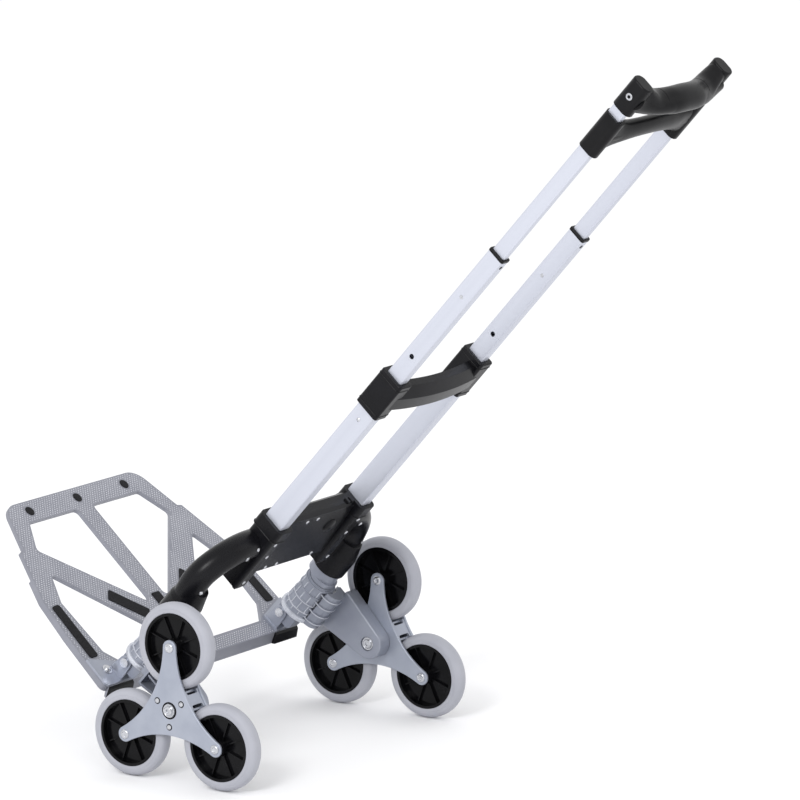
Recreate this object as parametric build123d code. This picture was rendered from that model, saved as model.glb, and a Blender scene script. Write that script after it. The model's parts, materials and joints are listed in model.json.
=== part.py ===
from build123d import *
from math import cos, radians, sin
import os

# Stair climbing trolley, in millimetres.
# Every piece is modelled upright: +Z runs up the tubes, +Y points over the toe plate,
# the floor is z = 0 and "left" is -X.  The finished pieces are then leaned back about
# the wheel hubs, so that four wheels stand on the floor and +Z is vertical.

# ---------------------------------------------------------------- driving dimensions
LEAN = 41.65                 # lean of the tubes from vertical, degrees

WHEEL_R = 55.0               # wheels and three-armed stars
TYRE_W = 21.0
RIM_R = 42.3
STAR_ARM = 79.5
STAR_X = 226.5
STAR_GAP = 27.5              # between the two plates of a star
PLATE_T = 3.5
ARM_END_R = 9.8
STAR_WAIST = 32.0            # hub centre to the middle of a concave side
HUB_Y = -62.0
HUB_Z = WHEEL_R + STAR_ARM / 2
AXLE_R = 4.0
HUB_BOLT_R = 6.0
FIT = 0.05                   # radial clearance of running fits

TUBE_X = 89.5                # telescopic tubes: centre and outside sizes
TUBE_Y = 43.0
LOWER = (19.0, 29.4)
MIDDLE = (15.8, 24.4)
UPPER = (10.4, 20.2)
TUBE_WALL = 1.1
TUBE_CORNER = 2.0
SLIDE_FIT = 0.15
LOWER_Z = (192.0, 560.0)
MIDDLE_Z = (478.0, 788.0)
UPPER_Z = (700.0, 1086.0)
CAP_T = 4.0                  # caps on the middle tubes
CAP_SIZE = (17.0, 25.6)
GUIDE_LENGTH = 26.0
RIVET_R = 2.6
RIVET_Z = 489.0
LOCK_HOLE_R = 3.4
LOCK_HOLE_Z = 606.0

BRIDGE_COLLAR = (26.0, 37.0)
BRIDGE_Z = (508.0, 567.0)
BRIDGE_REAR = 24.5           # rear face of the bar at its ends, and how far it bows
BRIDGE_BOW = 7.0
BRIDGE_BAR = (20.0, 33.0)    # depth and height of the bar, and the height of its underside
BRIDGE_BAR_Z = 525.0
BRIDGE_BEVEL = (10.0, 14.0)

HOUSING = (27.0, 38.0)       # lower frame
HOUSING_LIP = (31.0, 42.0)
HOUSING_Z = (189.0, 295.0)
PANEL_HALF = 80.0
PANEL_PROFILE = [(29, 207), (35, 291), (39, 295), (53, 295), (57, 291), (57, 209), (54, 205), (31, 205)]
ARM_R = 18.0
ARM_PATH = [(92, 47, 250), (118, 47, 248), (140, 47, 240), (158, 47.5, 224), (169, 47, 203), (171, 43.5, 178)]
SLEEVE_Y = 40.6
SLEEVE_Z = (139.0, 192.0)
SLEEVE_R = 23.5
SOCKET_TOP = 165.0           # how far the post and its collar reach into the sleeve
SCREW_R = 3.0

KNUCKLE_X = 168.0            # upright axis that a wheel bracket folds about
KNUCKLE_Y = 35.0
BARREL_Z = (57.0, 118.0)
BARREL_R = 19.5
REAR_BARREL_R = 15.0
REAR_BARREL_Y = 14.0
POST_R = 8.0
POST_COLLAR_R = 18.5
COLLAR_REAR_R = 15.5         # upper part of the post's collar, wider in front: radius
COLLAR_FRONT = (42.0, 19.5)  # behind, then centre and radius in front
BRACKET_X = (187.0, 208.6)
BRACKET_END_R = 20.5
BRACKET_WALL = 3.0

TOE_TOP = 18.0               # toe plate and its hinge
TOE_EDGE = 5.0               # depth of its bars
TOE_SIDE_LIP = 9.0           # depth of its sides, and how far forward that reaches
TOE_SIDE_LIP_Y = 210.0
TOE_REAR_LIP = [(33, 18), (27, 2), (30, 2), (37, 15)]
TOE_REAR_Y = 33.0
TOE_SKIN = 2.5
PAD_T = 1.2
TOE_HINGE_Y = 46.0
TOE_HINGE_Z = 42.0
TOE_BOLT = (189.0, 55.0)
HINGE_PIN_R = 4.0
SHEET_T = 3.0
EAR_X = (156.5, 179.5)       # outer faces of a toe bracket's two ears

GRIP_END = (20.0, 28.0)      # handle
GRIP_END_Y = 41.5
GRIP_Z = (1050.0, 1094.0)
GRIP_SPLIT_Y = 31.0
GRIP_PATH = [(40, 1070), (32, 1066), (25, 1070), (24, 1072), (25, 1070), (32, 1066), (40, 1070)]
GRIP_SECTION = (16.5, 14.0)
GRIP_BOLT = (41.4, 1072.4)
RELEASE_COLLAR = (18.5, 28.0)
RELEASE_Z = (978.0, 1036.0)
RELEASE_PATH = [(39, 1006), (35, 1013), (34, 1015), (35, 1013), (39, 1006)]
RELEASE_SECTION = (9.5, 13.0)

SIDES = {"left": -1, "right": 1}
ARM_ANGLES = [90 - LEAN + 120 * n for n in range(3)]
UPRIGHT_TO_ROW = Pos(0, 0, HUB_Z) * Rot(LEAN, 0, 0) * Pos(0, -HUB_Y, -HUB_Z)


# ---------------------------------------------------------------- helpers
def side_plane(x):
    """A drawing plane square to X, with its axes along Y and Z."""
    return Plane(origin=(x, 0, 0), x_dir=(0, 1, 0), z_dir=(1, 0, 0))


def level_plane(z):
    return Plane(origin=(0, 0, z), x_dir=(1, 0, 0), z_dir=(0, 0, 1))


def upright(size, corner, x, y, low, high):
    """A rounded rectangular bar along Z."""
    return extrude(level_plane(low) * Pos(x, y) * RectangleRounded(*size, corner), amount=high - low)


def cylinder_x(radius, x0, x1, y, z):
    return extrude(side_plane(min(x0, x1)) * Pos(y, z) * Circle(radius), amount=abs(x1 - x0))


def cylinder_y(radius, x, y0, y1, z):
    plane = Plane(origin=(x, y0, z), x_dir=(1, 0, 0), z_dir=(0, 1, 0))
    return extrude(plane * Circle(radius), amount=y1 - y0)


def cylinder_z(radius, x, y, low, high):
    return extrude(level_plane(low) * Pos(x, y) * Circle(radius), amount=high - low)


def block(x, y, z):
    """A box from three (low, high) pairs."""
    size = [high - low for low, high in (x, y, z)]
    middle = [(high + low) / 2 for low, high in (x, y, z)]
    return Pos(*middle) * Box(*size)


def grown(size, by):
    return (size[0] + 2 * by, size[1] + 2 * by)


def both_sides(shape):
    """The shape and its mirror image across the trolley's middle plane."""
    return [shape, mirror(shape, Plane.YZ)]


def group(shapes):
    """Separate solids that share one node."""
    return Compound([solid for shape in shapes for solid in shape.solids()])


def for_side(side, shape):
    return shape if side > 0 else mirror(shape, Plane.YZ)


# ---------------------------------------------------------------- telescopic tubes
def tube(size, span, x=TUBE_X):
    outside = upright(size, TUBE_CORNER, x, TUBE_Y, *span)
    bore = upright(grown(size, -TUBE_WALL), TUBE_CORNER - TUBE_WALL, x, TUBE_Y, *span)
    return outside - bore


def middle_tube(side):
    lock_hole = cylinder_x(LOCK_HOLE_R, TUBE_X - MIDDLE[0], TUBE_X + MIDDLE[0], TUBE_Y, LOCK_HOLE_Z)
    return for_side(side, tube(MIDDLE, MIDDLE_Z) - lock_hole)


def guide(size, inside, low):
    """A plastic bush that fills the gap between two tubes."""
    high = low + GUIDE_LENGTH
    shell = upright(size, TUBE_CORNER - TUBE_WALL, TUBE_X, TUBE_Y, low, high)
    return shell - upright(inside, TUBE_CORNER, TUBE_X, TUBE_Y, low, high)


def middle_tube_guides():
    size = grown(LOWER, -TUBE_WALL - SLIDE_FIT)
    return group(both_sides(guide(size, MIDDLE, MIDDLE_Z[0] + 2)))


def upper_tube_guides():
    size = grown(MIDDLE, -TUBE_WALL - SLIDE_FIT)
    return group(both_sides(guide(size, UPPER, UPPER_Z[0] + 2)))


def middle_tube_collars():
    """Thin black caps on the middle tubes, open for the upper tubes, with a neck inside."""
    seat = MIDDLE_Z[1]
    neck_size = grown(MIDDLE, -TUBE_WALL)
    cap = upright(CAP_SIZE, TUBE_CORNER + 1, TUBE_X, TUBE_Y, seat, seat + CAP_T)
    cap = fillet(cap.faces().sort_by(Axis.Z)[-1].edges(), 1.2)
    cap += upright(neck_size, TUBE_CORNER - TUBE_WALL, TUBE_X, TUBE_Y, seat - 18, seat)
    cap -= upright(grown(UPPER, SLIDE_FIT), TUBE_CORNER, TUBE_X, TUBE_Y, seat - 18, seat + CAP_T)
    return group(both_sides(cap))


def bridge_bar():
    """The bar between the collars: flat behind, bevelled above and bowed to the rear."""
    level = BRIDGE_BAR_Z
    path = ThreePointArc(
        (-TUBE_X, BRIDGE_REAR, level), (0, BRIDGE_REAR - BRIDGE_BOW, level), (TUBE_X, BRIDGE_REAR, level)
    )
    along = path % 0
    section = Plane(origin=path @ 0, x_dir=(-along.Y, along.X, 0), z_dir=along)
    deep, tall = BRIDGE_BAR
    back, down = BRIDGE_BEVEL
    outline = Polyline((0, 0), (0, tall - down), (back, tall), (deep, tall), (deep, 0), close=True)
    return sweep(section * make_face(outline), path=path)


def tube_bridge():
    """Two collars round the tops of the lower tubes, joined by a bowed bar."""
    low, high = BRIDGE_Z
    bridge = bridge_bar()
    for collar in both_sides(upright(BRIDGE_COLLAR, 4.0, TUBE_X, TUBE_Y, low, high)):
        collar = fillet(collar.faces().sort_by(Axis.Z)[-1].edges(), 1.5)
        bridge += collar
    for bore in both_sides(upright(LOWER, TUBE_CORNER, TUBE_X, TUBE_Y, low, LOWER_Z[1])):
        bridge -= bore
    opening = grown(MIDDLE, SLIDE_FIT)
    for bore in both_sides(upright(opening, TUBE_CORNER, TUBE_X, TUBE_Y, LOWER_Z[1], high)):
        bridge -= bore
    return bridge


def tube_rivets():
    """Rivets in both side walls of the lower tubes."""
    outer = TUBE_X + LOWER[0] / 2
    inner = TUBE_X - LOWER[0] / 2
    heads = both_sides(cylinder_x(RIVET_R, outer, outer + 0.9, TUBE_Y, RIVET_Z))
    return group(heads + both_sides(cylinder_x(RIVET_R, inner - 0.9, inner, TUBE_Y, RIVET_Z)))


# ---------------------------------------------------------------- lower frame
def collar_outline():
    """The upper part of the post's collar from above: round the post, and wider in front."""
    rear = Pos(KNUCKLE_X, KNUCKLE_Y) * Circle(COLLAR_REAR_R)
    front = Pos(KNUCKLE_X, COLLAR_FRONT[0]) * Circle(COLLAR_FRONT[1])
    return make_hull(rear.edges() + front.edges())


def frame_arm():
    """An arm from a tube housing out and down to a knuckle sleeve."""
    end = (KNUCKLE_X, SLEEVE_Y, SLEEVE_Z[0] + 14)
    path = Spline(*ARM_PATH, end, tangents=[(1, 0, 0), (-0.1, -0.1, -1)])
    start = Plane(origin=path @ 0, z_dir=path % 0)
    return sweep(start * Circle(ARM_R), path=path)


def frame_sleeve():
    """The socket at an arm's foot, tapering upwards into the arm."""
    low, high = SLEEVE_Z
    taper = high - 24
    sleeve = cylinder_z(SLEEVE_R, KNUCKLE_X, SLEEVE_Y, low, taper)
    sleeve = fillet(sleeve.faces().sort_by(Axis.Z)[0].edges(), 1.5)
    cone = Cone(SLEEVE_R, ARM_R - 1, high - taper)
    return sleeve + Pos(KNUCKLE_X, SLEEVE_Y, (taper + high) / 2) * cone


def frame_body():
    """The whole lower frame, before it is split into a front and a rear shell."""
    panel = make_face(Polyline(*PANEL_PROFILE, close=True))
    pocket = make_face(Polyline((39, 212), (39, 288), (53, 288), (53, 212), close=True))
    body = extrude(side_plane(-PANEL_HALF) * panel, amount=2 * PANEL_HALF)
    low, high = HOUSING_Z
    for housing in both_sides(upright(HOUSING, 7.0, TUBE_X, TUBE_Y, low, high - 8)):
        body += housing
    for lip in both_sides(upright(HOUSING_LIP, 8.0, TUBE_X, TUBE_Y, high - 18, high)):
        body += lip
    for arm in both_sides(frame_arm()):
        body += arm
    for sleeve in both_sides(frame_sleeve()):
        body += sleeve
    body -= extrude(side_plane(8 - PANEL_HALF) * pocket, amount=2 * PANEL_HALF - 16)
    for bore in both_sides(upright(LOWER, TUBE_CORNER, TUBE_X, TUBE_Y, LOWER_Z[0], high)):
        body -= bore
    for socket in both_sides(extrude(level_plane(BARREL_Z[1]) * collar_outline(), amount=SOCKET_TOP - BARREL_Z[1])):
        body -= socket
    return body


def frame_shell(front):
    """One half of the lower frame, cut where the tube centres lie."""
    keep = (TUBE_Y, 120) if front else (-60, TUBE_Y)
    return frame_body() & block((-260, 260), keep, (60, 360))


def frame_screws():
    """Screw heads on the rear of the housings."""
    rear = TUBE_Y - HOUSING[1] / 2
    places = [(TUBE_X - 3, 246), (TUBE_X + 2, 198), (TUBE_X + 1, 270)]
    heads = []
    for x, z in places:
        heads += both_sides(cylinder_y(SCREW_R, x, rear - 1.0, rear, z))
    return group(heads)


# ---------------------------------------------------------------- knuckle and wheel bracket
def pivot_post():
    """Steel post: its head is held in the sleeve and its foot carries the hinge block."""
    return cylinder_z(POST_R, KNUCKLE_X, KNUCKLE_Y, TOE_HINGE_Z + 8, SOCKET_TOP)


def post_collar():
    """Smooth silver collar between the sleeve and the barrels, wider above and in front."""
    waist = SLEEVE_Z[0] - 14
    collar = cylinder_z(POST_COLLAR_R, KNUCKLE_X, KNUCKLE_Y, BARREL_Z[1] + 0.4, waist)
    collar += extrude(level_plane(waist) * collar_outline(), amount=SOCKET_TOP - waist)
    return collar - cylinder_z(POST_R, KNUCKLE_X, KNUCKLE_Y, BARREL_Z[1], SOCKET_TOP)


def hinge_block():
    """Black block on the foot of the post, bored for the toe plate's hinge pin."""
    body = block((EAR_X[0] + SHEET_T + 0.5, EAR_X[1] - SHEET_T - 0.5), (24, 55), (31, BARREL_Z[0] - 1))
    body = fillet(body.edges().filter_by(Axis.X), 5)
    body -= cylinder_x(HINGE_PIN_R + FIT, EAR_X[0], EAR_X[1], TOE_HINGE_Y, TOE_HINGE_Z)
    return body - cylinder_z(POST_R, KNUCKLE_X, KNUCKLE_Y, TOE_HINGE_Z + 8, BARREL_Z[0])


def knuckle_barrel():
    """Ribbed barrel that turns on the post, with a collar at its foot."""
    low, high = BARREL_Z
    profile = Polyline(
        (0, low), (BARREL_R + 3.0, low), (BARREL_R + 4.5, low + 2), (BARREL_R + 4.5, low + 6),
        (BARREL_R + 2.0, low + 8), (BARREL_R, high), (0, high), close=True,
    )
    plane = Plane(origin=(KNUCKLE_X, KNUCKLE_Y, 0), x_dir=(1, 0, 0), z_dir=(0, -1, 0))
    barrel = revolve(plane * make_face(profile), axis=Axis((KNUCKLE_X, KNUCKLE_Y, 0), (0, 0, 1)))
    for n in range(4):
        z = low + 14 + 14 * n
        barrel += cylinder_z(BARREL_R + 2.4, KNUCKLE_X, KNUCKLE_Y, z, z + 2)
    return barrel - cylinder_z(POST_R + FIT, KNUCKLE_X, KNUCKLE_Y, low - 1, high + 1)


def rear_barrel():
    """Second ribbed barrel, which joins the first to the bracket's arm."""
    low, high = BARREL_Z[0] + 2, BARREL_Z[1] - 1
    x = KNUCKLE_X + 4
    barrel = cylinder_z(REAR_BARREL_R, x, REAR_BARREL_Y, low, high)
    for n in range(4):
        z = low + 7 + 14 * n
        barrel += cylinder_z(REAR_BARREL_R + 1.6, x, REAR_BARREL_Y, z, z + 2.5)
    return barrel


def bracket_outline():
    """The arm's side outline, from the barrels back to the hub."""
    front = [(6, 60), (6, 120)]
    foot = make_face(Polyline(front[0], front[1], (2, 121.5), (2, 59), close=True))
    end = Pos(HUB_Y, HUB_Z) * Circle(BRACKET_END_R)
    return make_hull(foot.edges() + end.edges())


def wheel_bracket():
    """Box arm, open and ribbed on its outer side, that carries the star's bolt."""
    low, high = BRACKET_X
    outline = bracket_outline()
    arm = extrude(side_plane(low) * outline, amount=high - low)
    arm = fillet(arm.faces().sort_by(Axis.X)[0].edges(), 2.0)
    hollow = extrude(side_plane(low + BRACKET_WALL) * offset(outline, amount=-BRACKET_WALL), amount=40)
    arm -= hollow
    boss = cylinder_x(13, low, high, HUB_Y, HUB_Z)
    ribs = [block((low, high - 2), (-60, 2), (z, z + 2.4)) for z in (76, 90, 104)]
    ribs.append(block((low, high - 2), (-26, -23.6), (66, 116)))
    inside = extrude(side_plane(low) * offset(outline, amount=-1), amount=high - low)
    for rib in ribs:
        arm += rib & inside
    arm += boss
    web = block((KNUCKLE_X - 6, low + 6), (2, REAR_BARREL_Y + 4), (BARREL_Z[0] + 5, BARREL_Z[1] - 3))
    arm += web
    arm += rear_barrel()
    arm -= cylinder_z(BARREL_R + 4.5, KNUCKLE_X, KNUCKLE_Y, BARREL_Z[0] - 1, BARREL_Z[1] + 1)
    arm -= cylinder_x(HUB_BOLT_R, low - 1, high + 1, HUB_Y, HUB_Z)
    return arm - cylinder_x(9.5, low - 1, low + 2.5, HUB_Y, HUB_Z)


def hub_bolt():
    """Bolt that the star turns on, with a head at each end."""
    low = BRACKET_X[0] + 0.4
    tip = STAR_X + STAR_GAP / 2 + PLATE_T
    shank = cylinder_x(HUB_BOLT_R, low, tip + 4, HUB_Y, HUB_Z)
    inner_head = cylinder_x(8.5, low, BRACKET_X[0] + 2.5, HUB_Y, HUB_Z)
    outer_head = cylinder_x(8.5, tip + 0.6, tip + 4, HUB_Y, HUB_Z)
    return shank + inner_head + outer_head


# ---------------------------------------------------------------- stars
def in_star(angle, along, across=0.0):
    """A point in the star's own plane: along an arm and square to it."""
    turn = radians(angle)
    return (
        HUB_Y + along * cos(turn) - across * sin(turn),
        HUB_Z + along * sin(turn) + across * cos(turn),
    )


def star_outline():
    """Three arms with round ends and concave sides."""
    edges = []
    for angle in ARM_ANGLES:
        left = in_star(angle, STAR_ARM, ARM_END_R)
        right = in_star(angle, STAR_ARM, -ARM_END_R)
        tip = in_star(angle, STAR_ARM + ARM_END_R)
        waist = in_star(angle + 60, STAR_WAIST)
        after = in_star(angle + 120, STAR_ARM, -ARM_END_R)
        edges.append(ThreePointArc(right, tip, left))
        edges.append(ThreePointArc(left, waist, after))
    return make_face(edges)


def star_plate(low):
    plate = extrude(side_plane(low) * star_outline(), amount=PLATE_T)
    plate = fillet(plate.faces().filter_by(Axis.X).edges(), 1.0)
    plate -= cylinder_x(HUB_BOLT_R + FIT, low - 1, low + PLATE_T + 1, HUB_Y, HUB_Z)
    for angle in ARM_ANGLES:
        plate -= cylinder_x(AXLE_R, low - 1, low + PLATE_T + 1, *in_star(angle, STAR_ARM))
    return plate


def star_spacer():
    """Walled core between the plates, cut back round the wheels, with notched walls and a hub tube."""
    low = STAR_X - STAR_GAP / 2
    core = offset(star_outline(), amount=-1.5)
    for angle in ARM_ANGLES:
        core -= Pos(*in_star(angle, STAR_ARM)) * Circle(WHEEL_R + 2.5)
    core = core.faces().sort_by(SortBy.AREA)[-1]
    walls = extrude(side_plane(low) * core, amount=STAR_GAP)
    walls -= extrude(side_plane(low) * offset(core, amount=-2.6), amount=STAR_GAP)
    for angle in ARM_ANGLES:
        for side in (-1, 1):
            notch = Pos(0, STAR_WAIST, side * 11) * Box(TYRE_W, 12, 8)
            notch = fillet(notch.edges().filter_by(Axis.Y), 2.5)
            walls -= Pos(STAR_X, HUB_Y, HUB_Z) * Rot(angle + 60, 0, 0) * notch
    walls += cylinder_x(11, low, low + STAR_GAP, HUB_Y, HUB_Z)
    for angle in ARM_ANGLES:
        rib = block((low, low + STAR_GAP), (9, STAR_WAIST - 3), (-1.3, 1.3))
        walls += Pos(0, HUB_Y, HUB_Z) * Rot(angle + 60, 0, 0) * rib
    return walls - cylinder_x(HUB_BOLT_R + FIT, low, low + STAR_GAP, HUB_Y, HUB_Z)


def star_screws():
    """Screws between the arms, through the outer plate."""
    face = STAR_X + STAR_GAP / 2 + PLATE_T
    heads = [cylinder_x(3.2, face, face + 1.4, *in_star(angle + 60, 21)) for angle in ARM_ANGLES]
    return group(heads)


def wheel_axles():
    """Three axle bolts, one at the end of each arm, with a head on each plate."""
    low = STAR_X - STAR_GAP / 2 - PLATE_T
    high = STAR_X + STAR_GAP / 2 + PLATE_T
    axles = []
    for angle in ARM_ANGLES:
        place = in_star(angle, STAR_ARM)
        axle = cylinder_x(AXLE_R, low, high, *place)
        axle += cylinder_x(6.2, high, high + 2.2, *place)
        axle += cylinder_x(6.2, low - 2.2, low, *place)
        axles.append(axle)
    return group(axles)


def turned(profile, angle):
    """A wheel's half section, given as (radius, offset along the axle), turned into a solid."""
    y, z = in_star(angle, STAR_ARM)
    plane = Plane(origin=(STAR_X, y, z), x_dir=(0, 0, 1), z_dir=(0, -1, 0))
    face = plane * make_face(Polyline(*profile, close=True))
    return revolve(face, axis=Axis((STAR_X, y, z), (1, 0, 0)))


def wheel_tyre(angle):
    half = TYRE_W / 2
    tyre = turned([(RIM_R, -half), (WHEEL_R, -half), (WHEEL_R, half), (RIM_R, half)], angle)
    outer = [e for e in tyre.edges().filter_by(GeomType.CIRCLE) if e.radius > WHEEL_R - 1]
    return fillet(outer, 5.5)


def wheel_rim(angle):
    """Dished plastic centre with a hub, a thin web and eight ribs on each face."""
    half = TYRE_W / 2 - 0.5
    lip = RIM_R - 3.6
    hub = 10.5
    y, z = in_star(angle, STAR_ARM)
    rim = turned(
        [
            (AXLE_R + FIT, -half - 2.4), (hub, -half - 2.4), (hub, -1.6), (lip, -1.6), (lip, -half),
            (RIM_R, -half), (RIM_R, half), (lip, half), (lip, 1.6), (hub, 1.6),
            (hub, half + 2.4), (AXLE_R + FIT, half + 2.4),
        ],
        angle,
    )
    for n in range(8):
        spoke = block((STAR_X - 5.5, STAR_X + 5.5), (hub - 1, lip + 1), (-0.9, 0.9))
        rim += Pos(0, y, z) * Rot(22.5 + 45 * n, 0, 0) * spoke
    return rim


# ---------------------------------------------------------------- toe plate
def toe_outline():
    half = [(138.5, 320), (164.5, 253), (172.5, 251), (201, 175), (208, 115), (212, TOE_REAR_Y)]
    points = half + [(-x, y) for x, y in reversed(half)]
    face = make_face(Polyline(*points, close=True))
    face = fillet([v for v in face.vertices() if v.Y > 300], 28)
    return fillet([v for v in face.vertices() if abs(v.Y - 175) < 1 or v.Y < TOE_REAR_Y + 1], 8)


def toe_windows():
    """The two large front windows and the two long side windows."""
    front = [(16, 288), (117, 288), (142, 247), (16, 124)]
    rear = [(151, 208), (172, 165), (168, 82), (146, 55), (16, 55)]
    windows = []
    for points, radius in ((front, 7), (rear, 5)):
        face = make_face(Polyline(*points, close=True))
        face = fillet(face.vertices(), radius)
        windows += [face, mirror(face, Plane.YZ)]
    return windows


def toe_plate():
    """Thin top skin with a lip down every edge, deeper at the sides and the rear."""
    skin = toe_outline()
    under = offset(toe_outline(), amount=-TOE_SKIN)
    for window in toe_windows():
        skin -= window
        under -= offset(window, amount=TOE_SKIN)
    bottom = TOE_TOP - TOE_EDGE
    plate = extrude(level_plane(bottom) * skin, amount=TOE_EDGE)
    plate -= extrude(level_plane(bottom) * under, amount=TOE_EDGE - TOE_SKIN)
    side_lip = toe_outline() - offset(toe_outline(), amount=-TOE_SKIN)
    side_lip = extrude(level_plane(TOE_TOP - TOE_SIDE_LIP) * side_lip, amount=TOE_SIDE_LIP - 1)
    plate += side_lip & block((-260, 260), (0, TOE_SIDE_LIP_Y), (0, TOE_TOP))
    rear_lip = make_face(Polyline(*TOE_REAR_LIP, close=True))
    plate += extrude(side_plane(-204) * rear_lip, amount=408)
    return plate


def pad(points, radius):
    face = make_face(Polyline(*points, close=True))
    return extrude(level_plane(TOE_TOP) * fillet(face.vertices(), radius), amount=PAD_T)


def toe_plate_pads():
    """Black anti-slip strips on the side bars, the diagonals and the centre bar."""
    side = pad([(180, 164), (195, 163), (198, 78), (182, 78)], 4)
    diagonal = pad([(76, 163), (89, 150), (46, 106), (33, 119)], 2)
    centre = pad([(-8, 140), (8, 140), (8, 78), (-8, 78)], 2)
    return group(both_sides(side) + both_sides(diagonal) + [centre])


def toe_plate_plugs():
    return group([cylinder_z(6.9, x, 304.5, TOE_TOP, TOE_TOP + PAD_T) for x in (-100.5, 0, 100.5)])


def toe_bracket():
    """Folded steel sheet on a rear corner of the toe plate, with two ears for the hinge pin."""
    top = TOE_TOP + SHEET_T
    sheet = make_face(Polyline((155, 33), (155, 60), (206, 77), (210, 77), (211, 38), (207, 33), close=True))
    body = extrude(level_plane(TOE_TOP) * sheet, amount=SHEET_T)
    ear = Pos(TOE_HINGE_Y, TOE_HINGE_Z) * Circle(9)
    foot = make_face(Polyline((36, top - 1), (58, top - 1), (55, top + 4), (37, top + 4), close=True))
    outline = make_hull(ear.edges() + foot.edges())
    for x in (EAR_X[0], EAR_X[1] - SHEET_T):
        body += extrude(side_plane(x) * outline, amount=SHEET_T)
    return body - cylinder_x(HINGE_PIN_R, EAR_X[0] - 1, EAR_X[1] + 1, TOE_HINGE_Y, TOE_HINGE_Z)


def toe_bracket_bolts():
    top = TOE_TOP + SHEET_T
    washer = cylinder_z(7.0, *TOE_BOLT, top, top + 1.2)
    return group(both_sides(washer + cylinder_z(4.6, *TOE_BOLT, top, top + 4)))


def hinge_pin():
    pin = cylinder_x(HINGE_PIN_R, EAR_X[0] - 2, EAR_X[1] + 2, TOE_HINGE_Y, TOE_HINGE_Z)
    for x in (EAR_X[0] - 3, EAR_X[1]):
        pin += cylinder_x(6.0, x, x + 3, TOE_HINGE_Y, TOE_HINGE_Z)
    return pin


def toe_hinge_lugs():
    """Dark stiffening wedges behind the rear corners of the toe plate."""
    wedge = make_face(Polyline((27, 2), (32.6, 17), (29, 15.5), (23, 5), close=True))
    return group(both_sides(extrude(side_plane(154) * wedge, amount=50)))


# ---------------------------------------------------------------- handle
def handle_path(points):
    """A smooth path from one tube to the other through evenly spaced (y, z) points."""
    step = 2 * TUBE_X / (len(points) - 1)
    places = [(-TUBE_X + step * n, y, z) for n, (y, z) in enumerate(points)]
    return Spline(*places)


def grip_body():
    """A thick grip between two end blocks that hold the upper tubes."""
    path = handle_path(GRIP_PATH)
    start = Plane(origin=path @ 0, x_dir=(0, 1, 0), z_dir=path % 0)
    body = sweep(start * Ellipse(*GRIP_SECTION), path=path)
    for end in both_sides(upright(GRIP_END, 9.0, TUBE_X, GRIP_END_Y, *GRIP_Z)):
        end = fillet(end.faces().sort_by(Axis.Z)[-1].edges(), 2.0)
        body += end
    for bore in both_sides(upright(UPPER, TUBE_CORNER, TUBE_X, TUBE_Y, GRIP_Z[0], UPPER_Z[1])):
        body -= bore
    return body & block((-TUBE_X - GRIP_END[0] / 2, TUBE_X + GRIP_END[0] / 2), (-20, 80), (1040, 1110))


def grip_shell(front):
    keep = (GRIP_SPLIT_Y, 120) if front else (-60, GRIP_SPLIT_Y)
    return grip_body() & block((-160, 160), keep, (980, 1160))


def grip_bolts():
    face = TUBE_X + GRIP_END[0] / 2
    return group(both_sides(cylinder_x(4.6, face, face + 1.5, *GRIP_BOLT)))


def release_bar():
    """Two collars that slide on the upper tubes, joined by a bar bowed to the rear."""
    path = handle_path(RELEASE_PATH)
    start = Plane(origin=path @ 0, x_dir=(0, 1, 0), z_dir=path % 0)
    body = sweep(start * Ellipse(*RELEASE_SECTION), path=path)
    for collar in both_sides(upright(RELEASE_COLLAR, 8.5, TUBE_X, GRIP_END_Y, *RELEASE_Z)):
        body += collar
    opening = grown(UPPER, SLIDE_FIT)
    low, high = RELEASE_Z
    for bore in both_sides(upright(opening, TUBE_CORNER, TUBE_X, TUBE_Y, low - 10, high + 10)):
        body -= bore
    half = TUBE_X + RELEASE_COLLAR[0] / 2
    return body & block((-half, half), (-20, 80), RELEASE_Z)


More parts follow.
